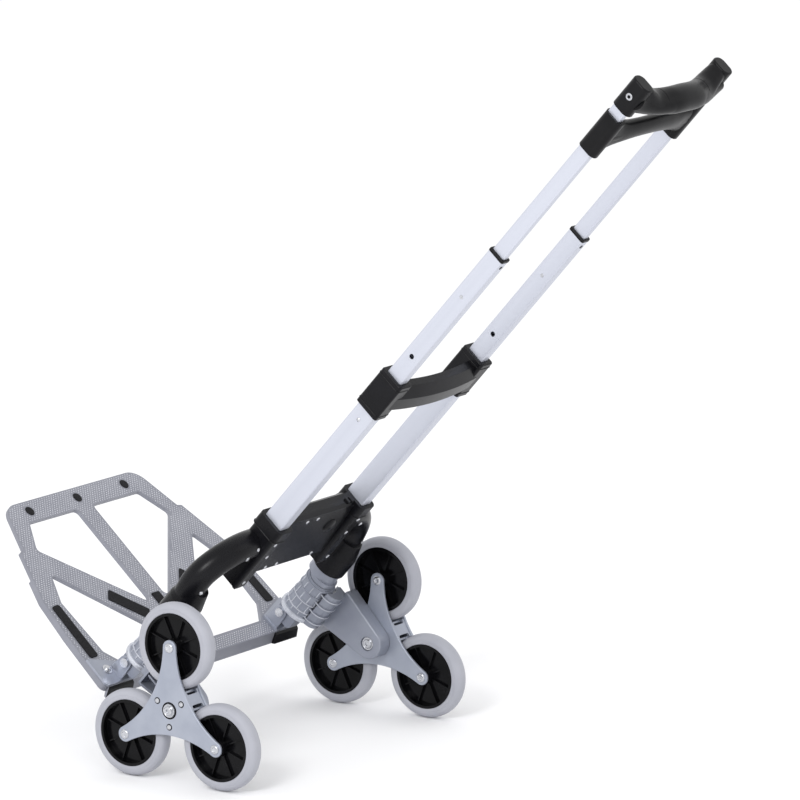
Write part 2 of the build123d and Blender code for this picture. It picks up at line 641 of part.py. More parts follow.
# ---------------------------------------------------------------- the whole trolley
def pieces():
    """Every node's name and solid, upright."""
    yield "frame_front_shell", frame_shell(True)
    yield "frame_rear_shell", frame_shell(False)
    yield "frame_screws", frame_screws()
    yield "tube_bridge", tube_bridge()
    yield "tube_rivets", tube_rivets()
    yield "toe_plate", toe_plate()
    yield "toe_plate_pads", toe_plate_pads()
    yield "toe_plate_plugs", toe_plate_plugs()
    yield "toe_bracket_bolts", toe_bracket_bolts()
    yield "toe_hinge_lugs", toe_hinge_lugs()
    yield "toe_hinge_pins", group(both_sides(hinge_pin()))
    yield "middle_tube_collars", middle_tube_collars()
    yield "middle_tube_guides", middle_tube_guides()
    yield "upper_tube_guides", upper_tube_guides()
    yield "grip_front_shell", grip_shell(True)
    yield "grip_rear_shell", grip_shell(False)
    yield "grip_bolts", grip_bolts()
    yield "release_bar", release_bar()
    for name, side in SIDES.items():
        inner_plate = STAR_X - STAR_GAP / 2 - PLATE_T
        outer_plate = STAR_X + STAR_GAP / 2
        yield f"{name}_lower_tube", for_side(side, tube(LOWER, LOWER_Z))
        yield f"{name}_middle_tube", middle_tube(side)
        yield f"{name}_upper_tube", for_side(side, tube(UPPER, UPPER_Z))
        yield f"{name}_pivot_post", for_side(side, pivot_post())
        yield f"{name}_post_collar", for_side(side, post_collar())
        yield f"{name}_hinge_block", for_side(side, hinge_block())
        yield f"{name}_toe_bracket", for_side(side, toe_bracket())
        yield f"{name}_knuckle_barrel", for_side(side, knuckle_barrel())
        yield f"{name}_wheel_bracket", for_side(side, wheel_bracket())
        yield f"{name}_hub_bolt", for_side(side, hub_bolt())
        yield f"{name}_star_inner_plate", for_side(side, star_plate(inner_plate))
        yield f"{name}_star_outer_plate", for_side(side, star_plate(outer_plate))
        yield f"{name}_star_spacer", for_side(side, star_spacer())
        yield f"{name}_star_screws", for_side(side, star_screws())
        yield f"{name}_wheel_axles", for_side(side, wheel_axles())
        for n, angle in enumerate(ARM_ANGLES, 1):
            yield f"{name}_tyre_{n}", for_side(side, wheel_tyre(angle))
            yield f"{name}_rim_{n}", for_side(side, wheel_rim(angle))


def main():
    os.makedirs("parts", exist_ok=True)
    for name, shape in pieces():
        export_step(UPRIGHT_TO_ROW * shape, f"parts/{name}.step")


main()
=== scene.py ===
import bmesh
import bpy
import json
from math import cos, pi, radians, sin
from mathutils import Matrix, Vector
from mathutils.bvhtree import BVHTree


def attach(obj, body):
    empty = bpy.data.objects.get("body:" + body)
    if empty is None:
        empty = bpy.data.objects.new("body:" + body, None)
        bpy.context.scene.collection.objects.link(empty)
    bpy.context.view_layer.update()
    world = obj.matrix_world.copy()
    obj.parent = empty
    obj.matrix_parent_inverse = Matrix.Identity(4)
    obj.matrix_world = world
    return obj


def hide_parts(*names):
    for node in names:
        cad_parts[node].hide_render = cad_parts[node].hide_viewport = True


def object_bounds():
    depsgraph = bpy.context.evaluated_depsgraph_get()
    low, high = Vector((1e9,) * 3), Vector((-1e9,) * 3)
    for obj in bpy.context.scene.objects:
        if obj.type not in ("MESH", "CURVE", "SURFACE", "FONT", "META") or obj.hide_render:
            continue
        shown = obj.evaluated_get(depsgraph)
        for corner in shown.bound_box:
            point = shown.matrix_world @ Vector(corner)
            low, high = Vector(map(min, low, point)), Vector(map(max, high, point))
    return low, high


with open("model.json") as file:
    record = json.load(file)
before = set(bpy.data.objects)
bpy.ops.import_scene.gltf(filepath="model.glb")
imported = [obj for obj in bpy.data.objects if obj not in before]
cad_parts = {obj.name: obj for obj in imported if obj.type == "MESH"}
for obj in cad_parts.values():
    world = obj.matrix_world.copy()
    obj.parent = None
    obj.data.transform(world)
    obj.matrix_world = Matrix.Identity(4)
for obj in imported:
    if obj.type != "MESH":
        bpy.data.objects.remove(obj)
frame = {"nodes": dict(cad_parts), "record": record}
CAD_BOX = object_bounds()

# ---------------------------------------------------------------- the upright frame
# Places below are in millimetres with the trolley upright: +Z up the tubes, +Y over the
# toe plate, the floor at z = 0.  UPRIGHT leans them back about the hubs, into metres.
LEAN = radians(41.65)
HUB_Y, HUB_Z = -62.0, 94.75
MM = 0.001
TO_HUB = Matrix.Translation((0, -HUB_Y, -HUB_Z))
UPRIGHT = (
    Matrix.Translation((0, 0, HUB_Z * MM)) @ Matrix.Rotation(LEAN, 4, "X")
    @ Matrix.Scale(MM, 4) @ TO_HUB
)
SIDES = {"left": -1, "right": 1}

STAR_ARM = 79.5              # hub to wheel centre
STAR_SCREW_ARM = 21          # hub to screw, between the arms
STAR_INNER, STAR_OUTER = 209.25, 243.75      # outer faces of a star's two plates
STAR_X = 226.5
ARM_ANGLES = [radians(48.35 + 120 * n) for n in range(3)]
HUB_BOLT_LOW = 187.4         # |x| of the hub bolt's inner end
TUBE_X, TUBE_Y = 89.5, 43.0
LOWER_RIVET_Z, MIDDLE_RIVET_Z, BUTTON_Z = 489, 715, 779
KNUCKLE_X, KNUCKLE_Y = 168, 35               # the barrel round the post
REAR_BARREL_X, REAR_BARREL_Y = 172, 14       # the thinner barrel behind it
TOE_TOP = 18.0
TOE_BOLT_X, TOE_BOLT_Y, TOE_BRACKET_RISE = 189, 55, 3
TOE_PLUG_Y = 304.5
GRIP_BOLT_Y, GRIP_BOLT_Z = 41.4, 1072.4

# ---------------------------------------------------------------- the photograph's camera
VIEW_AZIMUTH = -55.73        # degrees round +Z, 0 looks along +Y
VIEW_ELEVATION = 11.35
VIEW_ROLL = 0.14
VIEW_DISTANCE = 8.245
VIEW_TARGET = Vector((0.1852, -0.0518, 0.4220))
VIEW_LENS = 290.86


def add_camera():
    """Looks at the target from the given angles, with no shift."""
    azimuth, elevation, roll = map(radians, (VIEW_AZIMUTH, VIEW_ELEVATION, VIEW_ROLL))
    back = Vector((sin(azimuth) * cos(elevation), -cos(azimuth) * cos(elevation), sin(elevation)))
    right = Vector((cos(azimuth), sin(azimuth), 0))
    up = back.cross(right)
    side = right * cos(roll) + up * sin(roll)
    top = up * cos(roll) - right * sin(roll)
    data = bpy.data.cameras.new("camera")
    data.lens = VIEW_LENS
    data.sensor_width = 36
    data.clip_end = 100
    camera = bpy.data.objects.new("camera", data)
    bpy.context.collection.objects.link(camera)
    turn = Matrix((side, top, back)).transposed().to_4x4()
    camera.matrix_world = Matrix.Translation(VIEW_TARGET + back * VIEW_DISTANCE) @ turn
    bpy.context.scene.camera = camera


def add_light(name, place, target, size, power):
    """A white disk of light, in metres and watts, turned towards the target."""
    data = bpy.data.lights.new(name, "AREA")
    data.shape = "DISK"
    data.size = size
    data.energy = power
    light = bpy.data.objects.new(name, data)
    bpy.context.collection.objects.link(light)
    way = Vector(target) - Vector(place)
    light.rotation_euler = way.to_track_quat("-Z", "Y").to_euler()
    light.location = place


def add_studio():
    """A pale floor, a white surround and two soft lights."""
    bpy.ops.mesh.primitive_plane_add(size=60, location=(0, 0, CAD_BOX[0][2] - 0.0005))
    floor = bpy.context.object
    floor.name = "floor"
    finish = bpy.data.materials.new("floor")
    finish.use_nodes = True
    surface = finish.node_tree.nodes["Principled BSDF"]
    surface.inputs["Base Color"].default_value = (0.94, 0.94, 0.95, 1)
    surface.inputs["Roughness"].default_value = 0.9
    surface.inputs["Specular IOR Level"].default_value = 0.0
    floor.data.materials.append(finish)
    world = bpy.data.worlds.new("surround")
    world.use_nodes = True
    world.node_tree.nodes["Background"].inputs["Color"].default_value = (1, 1, 1, 1)
    world.node_tree.nodes["Background"].inputs["Strength"].default_value = 1.06
    bpy.context.scene.world = world
    add_light("key", (-4.0, -0.9, 2.6), (0, 0, 0.4), 1.4, 80)
    add_light("fill", (1.5, -4.0, 2.2), (0, 0, 0.4), 2.5, 6)


# ---------------------------------------------------------------- materials
def noise(tree, place, scale, detail):
    """A noise texture read at a place."""
    made = tree.nodes.new("ShaderNodeTexNoise")
    made.inputs["Scale"].default_value = scale
    made.inputs["Detail"].default_value = detail
    tree.links.new(place, made.inputs["Vector"])
    return made


def ramp(tree, value, low, high):
    """A colour between two tones over the middle of the value's range."""
    made = tree.nodes.new("ShaderNodeValToRGB")
    made.color_ramp.elements[0].position = 0.3
    made.color_ramp.elements[1].position = 0.7
    made.color_ramp.elements[0].color = (*low, 1)
    made.color_ramp.elements[1].color = (*high, 1)
    tree.links.new(value, made.inputs["Fac"])
    return made.outputs["Color"]


def finish(
    name, tones, rough, cloud, grain, depth,
    metallic=0.0, specular=0.5, edge=0.0006, stretch=None,
):
    """A procedural finish. The colour is cloudy between two tones at one scale, the roughness and
    a fine bump vary at another, and sharp edges shade as if rounded by the edge radius."""
    made = bpy.data.materials.new(name)
    made.use_nodes = True
    tree = made.node_tree
    surface = tree.nodes["Principled BSDF"]
    place = tree.nodes.new("ShaderNodeTexCoord").outputs["Object"]
    if stretch:
        along = tree.nodes.new("ShaderNodeMapping")
        along.vector_type = "TEXTURE"
        along.inputs["Rotation"].default_value = (LEAN, 0, 0)
        along.inputs["Scale"].default_value = stretch
        tree.links.new(place, along.inputs["Vector"])
        place = along.outputs["Vector"]
    clouds = noise(tree, place, cloud, 4.0).outputs["Fac"]
    fine = noise(tree, place, grain, 3.0).outputs["Fac"]
    tree.links.new(ramp(tree, clouds, *tones), surface.inputs["Base Color"])
    spread = tree.nodes.new("ShaderNodeMapRange")
    spread.inputs["To Min"].default_value, spread.inputs["To Max"].default_value = rough
    tree.links.new(fine, spread.inputs["Value"])
    tree.links.new(spread.outputs["Result"], surface.inputs["Roughness"])
    rounded = tree.nodes.new("ShaderNodeBevel")
    rounded.samples = 4
    rounded.inputs["Radius"].default_value = edge
    bump = tree.nodes.new("ShaderNodeBump")
    bump.inputs["Strength"].default_value = 0.5
    bump.inputs["Distance"].default_value = depth
    tree.links.new(fine, bump.inputs["Height"])
    tree.links.new(rounded.outputs["Normal"], bump.inputs["Normal"])
    tree.links.new(bump.outputs["Normal"], surface.inputs["Normal"])
    surface.inputs["Metallic"].default_value = metallic
    surface.inputs["Specular IOR Level"].default_value = specular
    return made


BRUSHED = (1.0, 1.0, 40.0)   # grain drawn out along the tubes
FINISHES = {
    "frame_black": finish(
        "frame_black", tones=((0.0040, 0.0040, 0.0052), (0.0075, 0.0075, 0.0095)),
        rough=(0.20, 0.36), cloud=30, grain=1500, depth=0.00010, specular=0.16,
    ),
    "fitting_black": finish(
        "fitting_black", tones=((0.0045, 0.0045, 0.0055), (0.0085, 0.0085, 0.0100)),
        rough=(0.26, 0.42), cloud=40, grain=1800, depth=0.00010, specular=0.16,
    ),
    "grip_black": finish(
        "grip_black", tones=((0.0035, 0.0035, 0.0042), (0.0070, 0.0070, 0.0080)),
        rough=(0.26, 0.42), cloud=35, grain=1200, depth=0.00012, specular=0.16,
    ),
    "tube_silver": finish(
        "tube_silver", tones=((0.52, 0.54, 0.61), (0.56, 0.58, 0.65)),
        rough=(0.36, 0.46), cloud=60, grain=700, depth=0.00002, metallic=0.45, stretch=BRUSHED,
    ),
    "toe_silver": finish(
        "toe_silver", tones=((0.225, 0.232, 0.272), (0.265, 0.272, 0.312)),
        rough=(0.34, 0.50), cloud=25, grain=2600, depth=0.00006, metallic=0.3,
    ),
    "sheet_silver": finish(
        "sheet_silver", tones=((0.29, 0.31, 0.37), (0.35, 0.37, 0.43)),
        rough=(0.26, 0.42), cloud=45, grain=700, depth=0.00003, metallic=0.5,
    ),
    "bracket_silver": finish(
        "bracket_silver", tones=((0.25, 0.268, 0.325), (0.30, 0.318, 0.375)),
        rough=(0.28, 0.42), cloud=30, grain=2200, depth=0.00006, metallic=0.4,
    ),
    "star_silver": finish(
        "star_silver", tones=((0.31, 0.335, 0.40), (0.36, 0.385, 0.45)),
        rough=(0.26, 0.40), cloud=35, grain=2400, depth=0.00004, metallic=0.4,
    ),
    "pad_black": finish(
        "pad_black", tones=((0.004, 0.004, 0.005), (0.024, 0.024, 0.027)),
        rough=(0.60, 0.85), cloud=900, grain=1100, depth=0.0005, specular=0.14,
    ),
    "tyre_grey": finish(
        "tyre_grey", tones=((0.345, 0.352, 0.395), (0.385, 0.392, 0.435)),
        rough=(0.46, 0.62), cloud=28, grain=1400, depth=0.00010, specular=0.3,
    ),
    "rim_black": finish(
        "rim_black", tones=((0.0022, 0.0022, 0.0028), (0.0045, 0.0045, 0.0055)),
        rough=(0.12, 0.24), cloud=40, grain=1600, depth=0.00004, specular=0.14,
    ),
    "fastener_steel": finish(
        "fastener_steel", tones=((0.46, 0.47, 0.50), (0.60, 0.61, 0.64)),
        rough=(0.16, 0.32), cloud=300, grain=1500, depth=0.00003, metallic=1.0, edge=0.0003,
    ),
}
# The dots are painted much lighter than the plate: painted highlight standing in for the glints on
# their faces.
DOT_GLINT_FINISH = finish(
    "toe_dot", tones=((0.60, 0.61, 0.66), (0.72, 0.73, 0.78)),
    rough=(0.24, 0.36), cloud=60, grain=2600, depth=0.00002, metallic=0.2, edge=0.0002,
)
# The barrel's rings and ribs are cast with the bracket but painted lighter: painted highlight for
# the light they catch.
RING_HIGHLIGHT_FINISH = finish(
    "barrel_ring", tones=((0.50, 0.52, 0.58), (0.60, 0.62, 0.68)),
    rough=(0.22, 0.34), cloud=60, grain=2200, depth=0.00003, metallic=0.4,
)


def finish_nodes():
    """Each CAD node gets the finish of its material slot in the record."""
    for entry in frame["record"]["subparts"]:
        node = frame["nodes"][entry["node"]]
        node.data.materials.clear()
        node.data.materials.append(FINISHES[entry["material_slot"]])


# ---------------------------------------------------------------- mesh code
def axes(axis):
    """Two directions square to the axis, and the axis, each of length 1."""
    axis = Vector(axis).normalized()
    across = axis.orthogonal().normalized()
    return across, axis.cross(across), axis


def stack(bm, rings):
    """Faces between rings of corners, where a ring of one is a pole."""
    for low, high in zip(rings, rings[1:]):
        count = max(len(low), len(high))
        for n in range(count):
            m = (n + 1) % count
            corners = list(dict.fromkeys((
                low[n % len(low)], low[m % len(low)], high[m % len(high)], high[n % len(high)],
            )))
            if len(corners) > 2:
                bm.faces.new(corners)


def lathe(bm, origin, axis, profile, count=32, closed=False):
    """A profile of (radius, distance along the axis) turned round it."""
    across, up, axis = axes(axis)
    rings = []
    for radius, along in profile:
        centre = Vector(origin) + axis * along
        angles = [2 * pi * n / count for n in range(count)] if radius else [0]
        rings.append([
            bm.verts.new(centre + radius * (across * cos(a) + up * sin(a))) for a in angles
        ])
    if closed:
        rings.append(rings[0])
    stack(bm, rings)


def slab(bm, corners, rise, chamfer=0.0):
    """A flat outline raised along a vector, with its far edge chamfered."""
    corners = [Vector(c) for c in corners]
    rise = Vector(rise)
    middle = sum(corners, Vector()) / len(corners)
    rings = [[middle], corners]
    if chamfer:
        reach = max((c - middle).length for c in corners)
        rings.append([c + rise * (1 - chamfer / rise.length) for c in corners])
        rings.append([middle + (c - middle) * (1 - chamfer / reach) + rise for c in corners])
    else:
        rings.append([c + rise for c in corners])
    rings.append([middle + rise])
    stack(bm, [[bm.verts.new(c) for c in ring] for ring in rings])


def bead(bm, points, radius, sides=6):
    """A thin raised bead along a closed loop of points at one height."""
    count = len(points)
    turn = [2 * pi * k / sides for k in range(sides)]
    rings = []
    for n, point in enumerate(points):
        way = (points[(n + 1) % count] - points[n - 1]).normalized()
        out = way.cross(Vector((0, 0, 1)))
        rings.append([
            bm.verts.new(point + radius * (out * cos(a) + Vector((0, 0, sin(a))))) for a in turn
        ])
    rings.append(rings[0])
    for low, high in zip(rings, rings[1:]):
        for n in range(sides):
            bm.faces.new((low[n], low[(n + 1) % sides], high[(n + 1) % sides], high[n]))


def rounded_loop(x, y, z, size, corner, steps=5):
    """Points round a rounded rectangle that lies level."""
    points = []
    for n, (sx, sy) in enumerate(((1, 1), (-1, 1), (-1, -1), (1, -1))):
        for k in range(steps + 1):
            angle = pi / 2 * (n + k / steps)
            points.append(Vector((
                x + sx * (size[0] / 2 - corner) + corner * cos(angle),
                y + sy * (size[1] / 2 - corner) + corner * sin(angle),
                z,
            )))
    return points


def carved(build_body, build_tool):
    """One mesh cut out of another, as a template to stamp."""
    pair = []
    for build in (build_body, build_tool):
        bm = bmesh.new()
        build(bm)
        bmesh.ops.recalc_face_normals(bm, faces=bm.faces)
        mesh = bpy.data.meshes.new("template")
        bm.to_mesh(mesh)
        bm.free()
        pair.append(bpy.data.objects.new("template", mesh))
        bpy.context.collection.objects.link(pair[-1])
    cut = pair[0].modifiers.new("cut", "BOOLEAN")
    cut.operation = "DIFFERENCE"
    cut.solver = "EXACT"
    cut.object = pair[1]
    bpy.context.view_layer.update()
    graph = bpy.context.evaluated_depsgraph_get()
    result = bpy.data.meshes.new_from_object(pair[0].evaluated_get(graph))
    for obj in pair:
        mesh = obj.data
        bpy.data.objects.remove(obj)
        bpy.data.meshes.remove(mesh)
    return result


def stamp(bm, template, origin, axis, scale=1.0, spin=0.0):
    """A copy of a template, which stands on z = 0 and faces +Z, set on a surface."""
    across, up, axis = axes(axis)
    place = Matrix((across, up, axis)).transposed().to_4x4()
    place = Matrix.Translation(origin) @ place
    place = place @ Matrix.Rotation(spin, 4, "Z") @ Matrix.Scale(scale, 4)
    copy = bmesh.new()
    copy.from_mesh(template)
    copy.transform(place)
    moved = bpy.data.meshes.new("moved")
    copy.to_mesh(moved)
    copy.free()
    bm.from_mesh(moved)
    bpy.data.meshes.remove(moved)


def piece(name, body, slot, bm, stands_for=(), look=None):
    """Turns upright millimetres into a finished object that rides on a body."""
    bm.transform(UPRIGHT)
    bmesh.ops.recalc_face_normals(bm, faces=bm.faces)
    mesh = bpy.data.meshes.new(name)
    bm.to_mesh(mesh)
    bm.free()
    for polygon in mesh.polygons:
        polygon.use_smooth = True
    mesh.set_sharp_from_angle(angle=radians(32))
    mesh.materials.append(look or FINISHES[slot])
    made = bpy.data.objects.new(name, mesh)
    bpy.context.collection.objects.link(made)
    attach(made, body)
    if stands_for:
        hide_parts(*stands_for)


def in_star(angle, along):
    """(y, z) of a point in a star's plane, out along an angle from the hub."""
    return HUB_Y + along * cos(angle), HUB_Z + along * sin(angle)


def surface_tree(*nodes):
    """A search tree over CAD nodes, in upright millimetres."""
    back = UPRIGHT.inverted()
    points, faces = [], []
    for node in nodes:
        mesh = frame["nodes"][node].data
        start = len(points)
        points += [back @ v.co for v in mesh.vertices]
        faces += [[start + i for i in p.vertices] for p in mesh.polygons]
    return BVHTree.FromPolygons(points, faces)


# ---------------------------------------------------------------- fasteners
def screw_body(bm):
    profile = [(0, -0.6), (3.0, -0.6), (3.0, 0.5), (2.6, 1.1), (1.6, 1.45), (0, 1.55)]
    lathe(bm, (0, 0, 0), (0, 0, 1), profile, 24)


def cross_tool(bm):
    for wide, deep in ((3.6, 0.9), (0.9, 3.6)):
        a, b = wide / 2, deep / 2
        slab(bm, [(-a, -b, 0.5), (a, -b, 0.5), (a, b, 0.5), (-a, b, 0.5)], (0, 0, 2))


def cap_body(bm):
    lathe(bm, (0, 0, 0), (0, 0, 1), [(0, -0.6), (3.0, -0.6), (3.0, 0.8), (2.7, 1.2), (0, 1.3)], 24)


def hex_tool(bm):
    lathe(bm, (0, 0, 0.35), (0, 0, 1), [(0, 0), (1.45, 0), (1.45, 2), (0, 2)], 6)


CROSS_HEAD = carved(screw_body, cross_tool)
HEX_HEAD = carved(cap_body, hex_tool)


# (x, z) of the screws on the rear of the lower frame: those of the panel, then those that
# each side has, on its housing, its arm and its knuckle sleeve.
PANEL_SCREWS = [(-23, 284), (48, 211), (-28, 211), (0, 284), (-52, 211)]
SIDE_SCREWS = [
    (86.5, 246), (91.5, 198), (90.5, 270), (108, 258), (123, 247), (113, 238),
    (176, 196), (184, 160), (186, 146),
]


def frame_screw_heads():
    """Cross-head screws on the rear of the lower frame."""
    rear = surface_tree("frame_rear_shell")
    places = list(PANEL_SCREWS)
    for side in SIDES.values():
        places += [(side * x, z) for x, z in SIDE_SCREWS]
    bm = bmesh.new()
    for n, (x, z) in enumerate(places):
        seat, normal, _, _ = rear.ray_cast(Vector((x, -80, z)), Vector((0, 1, 0)))
        if seat:
            stamp(bm, CROSS_HEAD, seat, normal, 0.95, 0.7 * n)
    piece("frame_screw_heads", "frame", "fastener_steel", bm, ["frame_screws"])


def tube_rivet_heads():
    """Domed rivets on the lower tubes. Those on the middle tubes are flush, because they slide
    into the lower tubes."""
    dome = [(0, -0.2), (2.6, -0.2), (2.6, 0.2), (2.1, 0.7), (1.2, 0.95), (0, 1.0)]
    flush = [
        (0, -0.2), (2.6, -0.2), (2.6, 0.06), (2.3, 0.12), (1.5, 0.12), (1.2, 0.04), (0, 0.04),
    ]
    button = [(0, -0.2), (2.6, -0.2), (2.6, 0.2), (2.2, 0.5), (0, 0.6)]
    bm = bmesh.new()
    for side in SIDES.values():
        for face in (-1, 1):
            origin = (side * TUBE_X + face * 9.5, TUBE_Y, LOWER_RIVET_Z)
            lathe(bm, origin, (face, 0, 0), dome, 20)
    piece("tube_rivet_heads", "frame", "fastener_steel", bm, ["tube_rivets"])
    bm = bmesh.new()
    for side in SIDES.values():
        for face in (-1, 1):
            origin = (side * TUBE_X + face * 7.9, TUBE_Y, MIDDLE_RIVET_Z)
            lathe(bm, origin, (face, 0, 0), flush, 20)
    piece("middle_tube_rivet_heads", "middle_stage", "fastener_steel", bm)
    bm = bmesh.new()
    for side in SIDES.values():
        lathe(bm, (side * TUBE_X, TUBE_Y - 12.2, BUTTON_Z), (0, -1, 0), button, 20)
    piece("middle_tube_buttons", "middle_stage", "fitting_black", bm)


def toe_bolt_heads():
    """A washer and a cross head on each corner bracket of the toe plate."""
    washer = [(0, -0.1), (7.0, -0.1), (7.0, 0.8), (6.6, 1.2), (0, 1.2)]
    bm = bmesh.new()
    top = TOE_TOP + TOE_BRACKET_RISE
    for side in SIDES.values():
        x = side * TOE_BOLT_X
        lathe(bm, (x, TOE_BOLT_Y, top), (0, 0, 1), washer, 32)
        stamp(bm, CROSS_HEAD, (x, TOE_BOLT_Y, top + 1.2), (0, 0, 1), 1.5, 0.5)
    piece("toe_bolt_heads", "toe_plate", "fastener_steel", bm, ["toe_bracket_bolts"])


def grip_bolt_heads():
    """Bright rings on the ends of the handle, with a black disc in each ring's hole as painted
    shade.
    """
    ring = [(2.1, 0.0), (2.1, 1.1), (2.6, 1.5), (3.8, 1.5), (4.6, 0.8), (4.6, 0.0)]
    bm, core = bmesh.new(), bmesh.new()
    for side in SIDES.values():
        origin = (side * (TUBE_X + 10), GRIP_BOLT_Y, GRIP_BOLT_Z)
        lathe(bm, origin, (side, 0, 0), ring, 32, closed=True)
        # A black disc at the floor of the ring's hole: painted shade.
        lathe(core, origin, (side, 0, 0), [(0, -0.1), (2.2, -0.1), (2.2, 0.4), (0, 0.4)], 24)
    piece("grip_bolt_heads", "upper_stage", "fastener_steel", bm, ["grip_bolts"])
    piece("grip_bolt_hole_shade", "upper_stage", "rim_black", core)


# ---------------------------------------------------------------- stars and wheels
def star_fasteners(name, side):
    """A star's screws, black rings round them and the hub that paint the shade of their recesses,
    and its riveted axles.
    """
    bm = bmesh.new()
    for angle in ARM_ANGLES:
        y, z = in_star(angle + pi / 3, STAR_SCREW_ARM)
        stamp(bm, CROSS_HEAD, (side * STAR_OUTER, y, z), (side, 0, 0), 1.05, angle)
    replaced = [f"{name}_star_screws"]
    piece(f"{name}_star_screw_heads", f"{name}_star", "fastener_steel", bm, replaced)
    # Thin black rings standing proud of the star: painted shade for the recesses round the screws
    # and the hub.
    rings = bmesh.new()
    for angle in ARM_ANGLES:
        y, z = in_star(angle + pi / 3, STAR_SCREW_ARM)
        ring = [(3.1, 0.0), (3.1, 0.25), (4.1, 0.25), (4.3, 0.0)]
        lathe(rings, (side * STAR_OUTER, y, z), (side, 0, 0), ring, 28, closed=True)
    ring = [(8.9, 0.0), (8.9, 0.4), (10.6, 0.4), (11.0, 0.0)]
    lathe(rings, (side * STAR_OUTER, HUB_Y, HUB_Z), (side, 0, 0), ring, 40, closed=True)
    piece(f"{name}_star_recess_shade", f"{name}_star", "rim_black", rings)
    head = [
        (0, -0.1), (6.2, -0.1), (6.2, 0.6), (5.7, 1.3), (4.6, 1.9),
        (3.4, 2.1), (2.9, 1.3), (1.6, 1.1), (0, 1.1),
    ]
    bm = bmesh.new()
    for angle in ARM_ANGLES:
        y, z = in_star(angle, STAR_ARM)
        lathe(bm, (side * STAR_OUTER, y, z), (side, 0, 0), head, 32)
        lathe(bm, (side * STAR_INNER, y, z), (-side, 0, 0), head, 32)
        shank = [(0, 0), (4.0, 0), (4.0, STAR_OUTER - STAR_INNER), (0, STAR_OUTER - STAR_INNER)]
        lathe(bm, (side * STAR_INNER, y, z), (side, 0, 0), shank, 24)
    piece(f"{name}_axle_rivets", f"{name}_star", "fastener_steel", bm, [f"{name}_wheel_axles"])


def hub_fasteners(name, side):
    """The bolt that a star turns on: shank, washers and a head at each end."""
    low, tip = HUB_BOLT_LOW, STAR_OUTER
    bm = bmesh.new()
    shank = [(0, 0), (6.0, 0), (6.0, tip + 1 - low), (0, tip + 1 - low)]
    lathe(bm, (side * low, HUB_Y, HUB_Z), (side, 0, 0), shank, 32)
    washer = [(0, 0), (8.5, 0), (8.5, 0.7), (8.2, 1.0), (7.0, 1.0), (6.6, 0.7), (0, 0.7)]
    lathe(bm, (side * (tip + 0.6), HUB_Y, HUB_Z), (side, 0, 0), washer, 40)
    stamp(bm, HEX_HEAD, (side * (tip + 1.5), HUB_Y, HUB_Z), (side, 0, 0), 1.9, 0.3)
    lathe(bm, (side * (low + 1.7), HUB_Y, HUB_Z), (-side, 0, 0), washer, 40)
    stamp(bm, HEX_HEAD, (side * (low + 0.9), HUB_Y, HUB_Z), (-side, 0, 0), 1.9, 0.3)
    piece(f"{name}_hub_bolt_heads", f"{name}_bracket", "fastener_steel", bm, [f"{name}_hub_bolt"])


TYRE_HALF = [    # (radius, distance from the tyre's middle), bore first
    (42.3, 0), (42.3, 9.4), (42.9, 10.1), (44.0, 10.45),
    (46.6, 10.5), (47.0, 10.2), (47.6, 10.2), (48.0, 10.4),
    (49.8, 10.0), (51.6, 9.0), (53.1, 7.5), (54.2, 5.6),
    (54.8, 3.2), (55.0, 0.9), (54.85, 0.35), (54.85, 0),
]


def tyres(name, side):
    """Crowned tyres with a groove in each wall and a moulding line round the tread."""
    profile = TYRE_HALF + [(radius, -along) for radius, along in reversed(TYRE_HALF[1:-1])]
    for n, angle in enumerate(ARM_ANGLES, 1):
        bm = bmesh.new()
        y, z = in_star(angle, STAR_ARM)
        lathe(bm, (side * STAR_X, y, z), (1, 0, 0), profile, 96, closed=True)
        piece(f"{name}_tyre_skin_{n}", f"{name}_wheel_{n}", "tyre_grey", bm, [f"{name}_tyre_{n}"])


# ---------------------------------------------------------------- knuckles, frame and tubes
def barrel_radius(z):
    """A knuckle barrel narrows slightly from its foot to its head."""
    return 21.5 - 2 * (z - 65) / 53


def barrel_rings(name, side):
    """Rings round a knuckle's barrels, and short ribs between them, staggered by row, painted
    lighter than the bracket as highlight.
    """
    bm = bmesh.new()
    rows = [(66, 71), (73, 85), (87, 99), (101, 113)]
    for row, (low, high) in enumerate(rows):
        for n in range(12):
            angle = 2 * pi * (n + 0.5 * (row % 2)) / 12
            out = Vector((cos(angle), sin(angle), 0))
            across = Vector((-sin(angle), cos(angle), 0))
            foot, head = [
                Vector((side * KNUCKLE_X, KNUCKLE_Y, z)) + out * (barrel_radius(z) - 0.4)
                for z in (low, high)
            ]
            slab(bm, [
                foot - across * 0.6, foot + across * 0.6, head + across * 0.6, head - across * 0.6,
            ], out * 1.5, 0.3)
    for z in (72, 86, 100, 114):
        edge = barrel_radius(z) - 0.6
        ring = [
            (edge, z - 1.3), (edge + 1.9, z - 0.6), (edge + 2.1, z),
            (edge + 1.9, z + 0.6), (edge, z + 1.3),
        ]
        lathe(bm, (side * KNUCKLE_X, KNUCKLE_Y, 0), (0, 0, 1), ring, 64, closed=True)
    for z in (67.2, 81.2, 95.2, 109.2):
        ring = [(15.8, z - 1.0), (17.0, z - 0.5), (17.2, z), (17.0, z + 0.5), (15.8, z + 1.0)]
        lathe(bm, (side * REAR_BARREL_X, REAR_BARREL_Y, 0), (0, 0, 1), ring, 48, closed=True)
    foot = [(22.0, 57.2), (24.2, 57.6), (24.8, 59.0), (24.8, 62.6), (24.2, 64.0), (22.0, 64.4)]
    lathe(bm, (side * KNUCKLE_X, KNUCKLE_Y, 0), (0, 0, 1), foot, 64, closed=True)
    piece(f"{name}_barrel_rings", f"{name}_bracket", "bracket_silver", bm, look=RING_HIGHLIGHT_FINISH)


